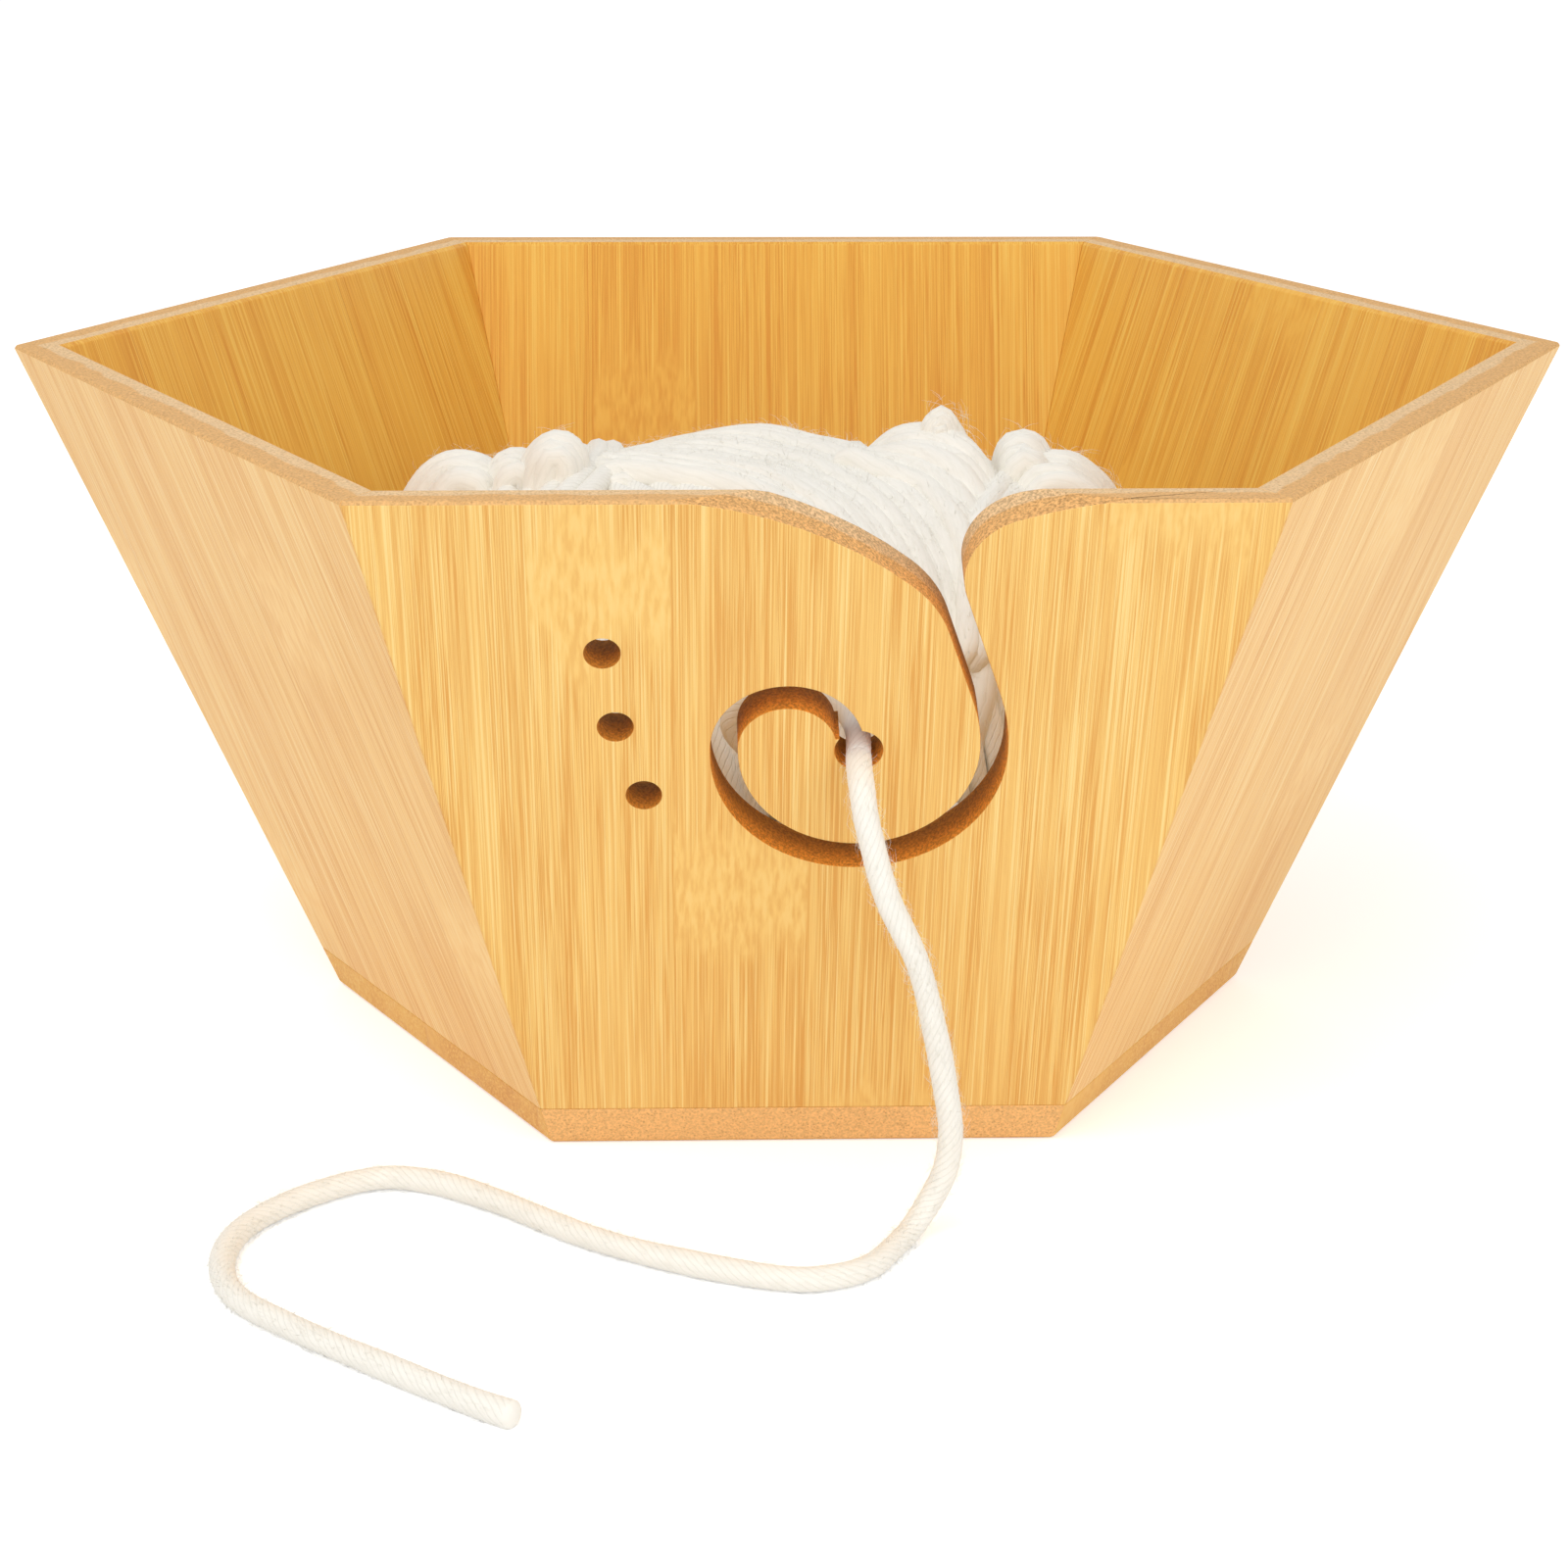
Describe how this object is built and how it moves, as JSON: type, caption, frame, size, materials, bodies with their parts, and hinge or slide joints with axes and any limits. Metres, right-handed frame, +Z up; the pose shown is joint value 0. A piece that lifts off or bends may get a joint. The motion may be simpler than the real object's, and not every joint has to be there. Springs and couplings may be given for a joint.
{
  "type": "yarn dispenser bowl",
  "caption": "Flared six-sided bamboo yarn bowl with a spiral yarn guide, needle holes and a ball of yarn whose end runs out through the guide.",
  "frame": {"origin": "middle of the bowl's six-sided underside, on the table", "axes": "+Z up, the panel with the spiral guide faces -Y, +X to the right of someone who looks at that panel"},
  "size_m": [0.2296, 0.2423, 0.1015],
  "materials": {
    "bamboo_front": "sanded bamboo, satin clear oil",
    "bamboo_side": "sanded bamboo, satin clear oil",
    "bamboo_base": "sanded bamboo end grain, satin clear oil",
    "yarn": "soft plied off-white yarn, matt"
  },
  "bodies": {
    "bowl": {"base_plate": "bamboo_base", "front_panel": "bamboo_front", "front_right_panel": "bamboo_side", "back_right_panel": "bamboo_side", "back_panel": "bamboo_side", "back_left_panel": "bamboo_side", "front_left_panel": "bamboo_side", "yarn_lead": "yarn", "yarn_strand": "yarn"},
    "yarn_ball": {"yarn_core": "yarn", "yarn_winding": "yarn"}
  },
  "joints": [
    {"name": "ball_lift", "type": "slide", "parent": "bowl", "child": "yarn_ball", "axis": [0, 0, 1], "range_m": [0, 0.11]}
  ]
}
